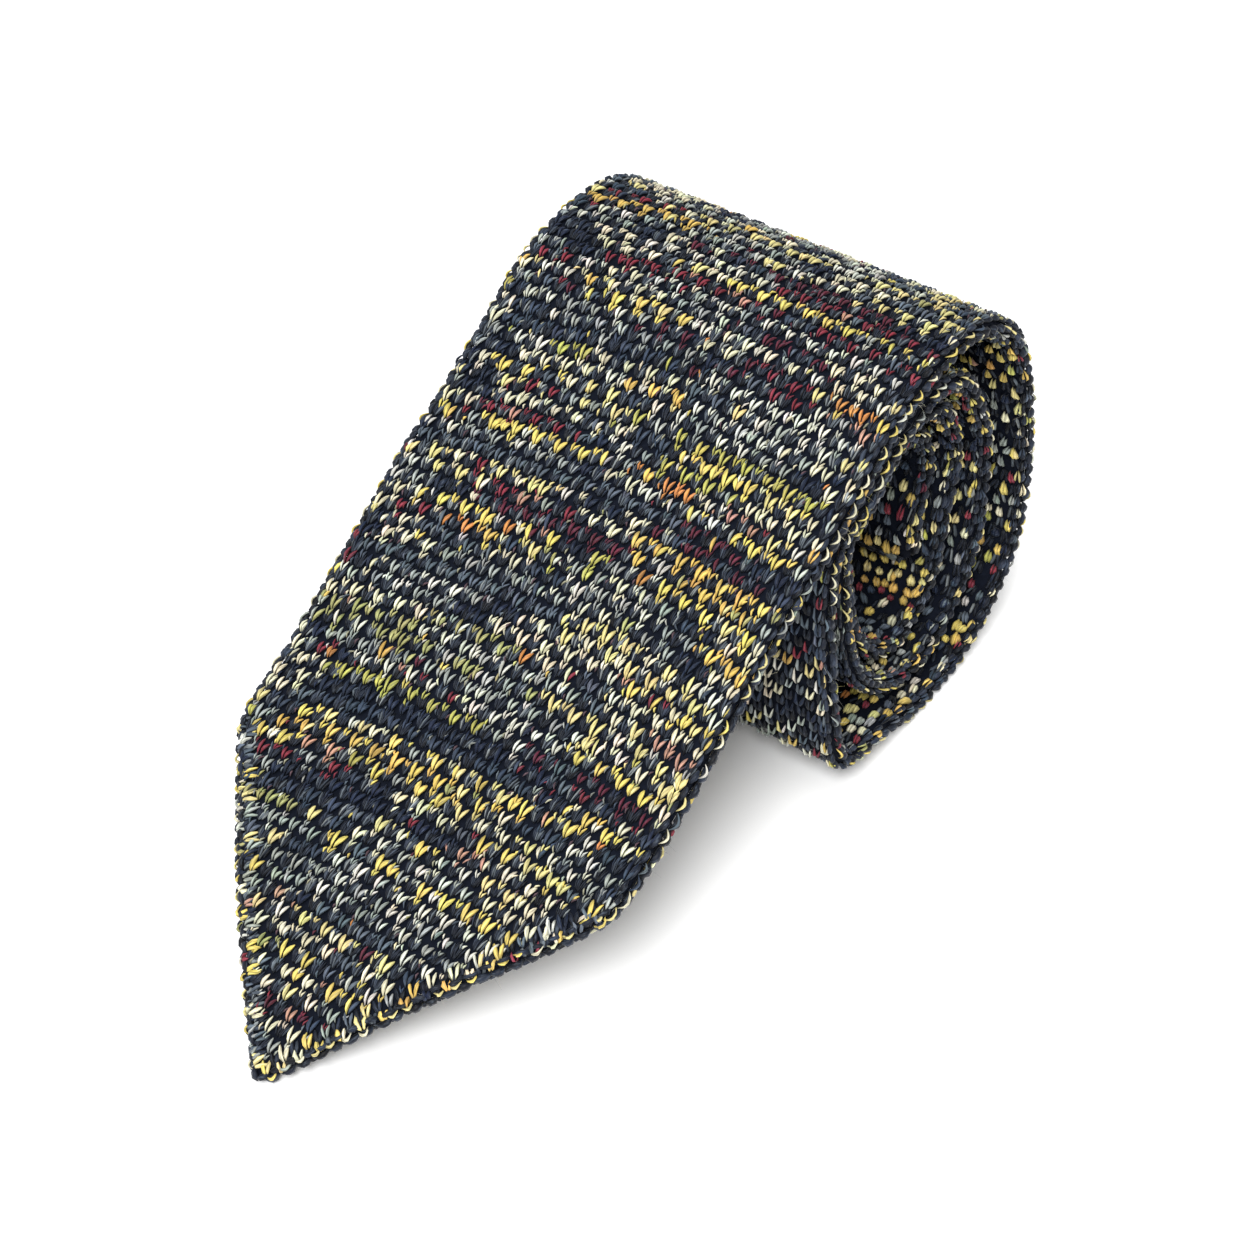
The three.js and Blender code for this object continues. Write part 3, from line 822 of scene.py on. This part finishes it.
def edgeStitches(side, name):
    dice = np.random.default_rng(41 + side)
    batches = []
    ends = np.arange(1.2, outlineLengths[-1] - 1.5, fold["step"])
    number = np.arange(len(ends))
    for row, (turn, girth, sink) in enumerate(fold["navyTurns"]):
        x, s, heading = alongEdge(ends + dice.normal(0, 0.12, len(ends)) + (row % 2) * 1.1,
                                  turn + dice.normal(0, 5, len(ends)), side)
        size = np.where(number % 2 == row % 2, 1.06, 0.94) * dice.normal(1, 0.06, len(x))
        tint = heatherColours(len(x), dice, 1.0, heather[:9])
        batches.append(legs(x, s, side, 1, dict(beadLook, sink=sink), tint, dice, size,
                            side * dice.normal(0.2, 0.15, len(x)), dice.normal(girth, 0.1, len(x)), heading))
    # V's seen from the side along the straight edges
    straight = ends[ends > fold["pointSpan"] - 4]
    for row, turn in enumerate(fold["dyedTurns"]):
        at = straight[row % 2::2] + dice.normal(0, 0.18, len(straight[row % 2::2]))
        x, s, heading = alongEdge(at, turn + dice.normal(0, 6, len(at)), side)
        batches += dyedPair(x, s, 1, arcLook, dice, dice.normal(0.95, 0.08, len(x)),
                            dice.normal(0, 0.12, len(x)), heading, 0.42, brightYarn)
    # at the point long ones stand square to the edge
    for row, turn in enumerate((-14, 38)):
        at = np.arange(2.4 + 1.5 * row, fold["pointSpan"], 3.0)
        at = at + dice.normal(0, 0.2, len(at))
        x, s, heading = alongEdge(at, turn + dice.normal(0, 5, len(at)), side)
        square = heading + side * np.pi / 2 * 0.85
        batches += dyedPair(x, s, 1, pointLook, dice, dice.normal(1 - 0.15 * row, 0.08, len(x)),
                            dice.normal(0, 0.1, len(x)), square, 0.9, edgeYarn)
        x, s, heading = alongEdge(at + 1.5, turn + dice.normal(0, 5, len(at)), side)
        batches += navyPair(x, s, 1, (fullNavy,), dice, 0.9, dice.normal(0, 0.1, len(x)), square)
    # thin loops: crescents close together round the point, now and then a longer one further up
    crescents = np.arange(2.5, fold["pointSpan"], 2.2)
    crescents = crescents[dice.random(len(crescents)) < 0.8]
    loops = straight + 1.1 + dice.normal(0, 0.3, len(straight))
    loops = loops[dice.random(len(loops)) < 0.62]
    for look, at, turn in ((crescentLook, crescents, 46), (loopLook, loops, 60)):
        x, s, heading = alongEdge(at, turn + dice.normal(0, 9, len(at)), side)
        colours = yarnColours(x, s, dice, 0.1)[0]
        pale = np.array([linear(dyes[n][0]) for n in ("straw", "cream", "yellow", "straw")])
        colours = np.where(dice.random((len(x), 1)) < 0.75, pale[dice.integers(0, 4, len(x))], colours)
        batches.append(legs(x, s, side, 1, look, colours, dice, dice.normal(1, 0.12, len(x)),
                            dice.normal(0, 0.12, len(x)), 1.0, heading))
    return joinedPiece(name, batches)


# The cloth's inner end, cast off: rows of beads lying across, one under another from face to face.
def endStitches():
    dice = np.random.default_rng(61)
    half = halfWidthAt(np.array([totalLength]))[0] - 0.8
    across = np.arange(-half, half, knit["wale"])
    batches = []
    for depth in (-0.35, -1.15, -1.95, -2.75):
        x = across + dice.normal(0, 0.12, len(across)) + (depth < -1) * knit["wale"] / 2
        beside = np.full(len(x), totalLength - 3)
        tint = np.where(dice.random((len(x), 1)) < 0.3, yarnColours(x, beside, dice, seen=innerStreaks)[0],
                        heatherColours(len(x), dice, 1.0, heather[:9]))
        batches.append(legs(x, np.full(len(x), totalLength - 0.5), 1, 1, dict(beadLook, crown=0.0, sink=depth),
                            tint, dice, 0.95, 0.0, 1.0, np.pi / 2))
    return joinedPiece("end_stitches", batches)


print("stitches: folds and end")
pieces.append(edgeStitches(1, "right_fold_stitches"))
pieces.append(edgeStitches(-1, "left_fold_stitches"))
pieces.append(endStitches())


# Stray fibres: thin three-sided hairs that leave an edge, bend over and end. The middle line is the
# start, plus the way out times the share, plus a bend times the share squared.
def strayFibres(count=150):
    dice = np.random.default_rng(51)
    lengths = dice.uniform(8, 330, count)
    side = dice.choice([-1, 1], count)
    x, s, heading = alongEdge(lengths, dice.uniform(20, 150, count), side)
    start = onCloth(x, s, np.zeros(count), 1.0)
    tip = onCloth(x, s, np.full(count, 1.0), 1.0)
    out = tip - start
    reach = dice.uniform(0.7, 1.9, count)[:, None, None]
    bend = dice.normal(0, 0.7, (count, 3))[:, None]
    t = np.linspace(0, 1, 5)[None, :, None]
    middle = start[:, None] + out[:, None] * reach * t + bend * t ** 2
    middle[..., 2] = np.maximum(middle[..., 2], 0.08)
    angle = np.radians((0, 120, 240))[None, None, :, None]
    thick = 0.018 * (1 - 0.7 * t)[..., None]
    a, b = np.array([1.0, 0, 0]), np.array([0, 0.7, 0.7])
    points = middle[:, :, None] + thick * (np.cos(angle) * a + np.sin(angle) * b)
    i, j = np.meshgrid(np.arange(4), np.arange(3), indexing="ij")
    p, q = i * 3 + j, i * 3 + (j + 1) % 3
    quads = np.stack([p, q, q + 3, p + 3], -1).reshape(-1, 4)
    caps = np.array([[2, 1, 0], [12, 13, 14]])
    starts = (np.arange(count) * 15)[:, None, None]
    colours = np.repeat(yarnColours(x, s, dice)[0][:, None], 15, 1).reshape(-1, 3)
    strands = np.zeros((count * 15, 3))
    return joinedPiece("stray_fibres", [{
        "points": points.reshape(-1, 3), "colours": colours, "strands": strands,
        "quads": (quads[None] + starts).reshape(-1, 4), "fans": (caps[None] + starts).reshape(-1, 3),
    }])


pieces.append(strayFibres())

# white acrylic sweep, lit a little from below too, and soft light from the front and a little from above
studio = {"floor": "#fdfdfd", "reach": 3.0, "glow": 0.04}


def studioFloor():
    material, tree, shader = newMaterial("whiteAcrylicSweep")
    shader.inputs["Base Color"].default_value = (*linear(studio["floor"]), 1)
    shader.inputs["Roughness"].default_value = 0.95
    shader.inputs["Specular IOR Level"].default_value = 0.1
    shader.inputs["Emission Color"].default_value = (1, 1, 1, 1)
    shader.inputs["Emission Strength"].default_value = studio["glow"]
    r = studio["reach"]
    mesh = bpy.data.meshes.new("floor")
    mesh.from_pydata([(-r, -r, 0), (r, -r, 0), (r, r, 0), (-r, r, 0)], [], [(0, 1, 2, 3)])
    mesh.materials.append(material)
    floor = bpy.data.objects.new("floor", mesh)
    bpy.context.collection.objects.link(floor)


# the matrix that turns a lamp or camera to its right, up and back directions at its place
def turnedTo(right, up, back, place):
    return Matrix([(*row, p) for row, p in zip(np.stack([right, up, back], 1), place)] + [(0, 0, 0, 1)])


def areaLight(name, place, aim, size, watts):
    lamp = bpy.data.lights.new(name, "AREA")
    lamp.shape = "DISK"
    lamp.size = size
    lamp.energy = watts
    light = bpy.data.objects.new(name, lamp)
    back = np.array(place, float) - np.array(aim, float)
    back /= np.linalg.norm(back)
    right = np.cross((0, 0, 1), back)
    right /= np.linalg.norm(right)
    up = np.cross(back, right)
    light.matrix_world = turnedTo(right, up, back, place)
    bpy.context.collection.objects.link(light)


def studioLight():
    world = bpy.data.worlds.new("paleStudio")
    world.use_nodes = True
    world.node_tree.nodes["Background"].inputs["Color"].default_value = (1, 1, 1, 1)
    world.node_tree.nodes["Background"].inputs["Strength"].default_value = 0.6
    bpy.context.scene.world = world
    areaLight("softboxAbove", (-0.05, -0.1, 0.95), (0, 0, 0.03), 0.5, 3.0)
    areaLight("softboxFront", (0.29, -0.66, 0.9), (0, 0, 0.03), 0.5, 12.8)


studioFloor()
studioLight()

# the camera, from the photo's outline: turned and raised about the aim, a long lens
view = {
    "azimuth": 34.02, "elevation": 41.54, "roll": 1.17, "distance": 361.67,
    "aim": (4.51, -33.44, 25.71), "focalShare": 2.12506, "sensor": 36.0,
}


def photoCamera():
    turn, rise, roll = (np.radians(view[k]) for k in ("azimuth", "elevation", "roll"))
    back = np.array([np.sin(turn) * np.cos(rise), -np.cos(turn) * np.cos(rise), np.sin(rise)])
    level = np.array([np.cos(turn), np.sin(turn), 0.0])
    upright = np.cross(back, level)
    right = np.cos(roll) * level + np.sin(roll) * upright
    up = np.cos(roll) * upright - np.sin(roll) * level
    place = (np.array(view["aim"]) + shift + back * view["distance"]) * mm
    lens = bpy.data.cameras.new("photoView")
    lens.sensor_width = view["sensor"]
    lens.lens = view["sensor"] * view["focalShare"]
    lens.clip_start = 0.01
    camera = bpy.data.objects.new("photoView", lens)
    camera.matrix_world = turnedTo(right, up, back, place)
    bpy.context.collection.objects.link(camera)
    bpy.context.scene.camera = camera


photoCamera()
bpy.context.scene.view_settings.view_transform = "Standard"

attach(coreCloth, "root")
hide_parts("knit_tie")
for piece in pieces:
    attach(piece, "root")
print("pieces declared")
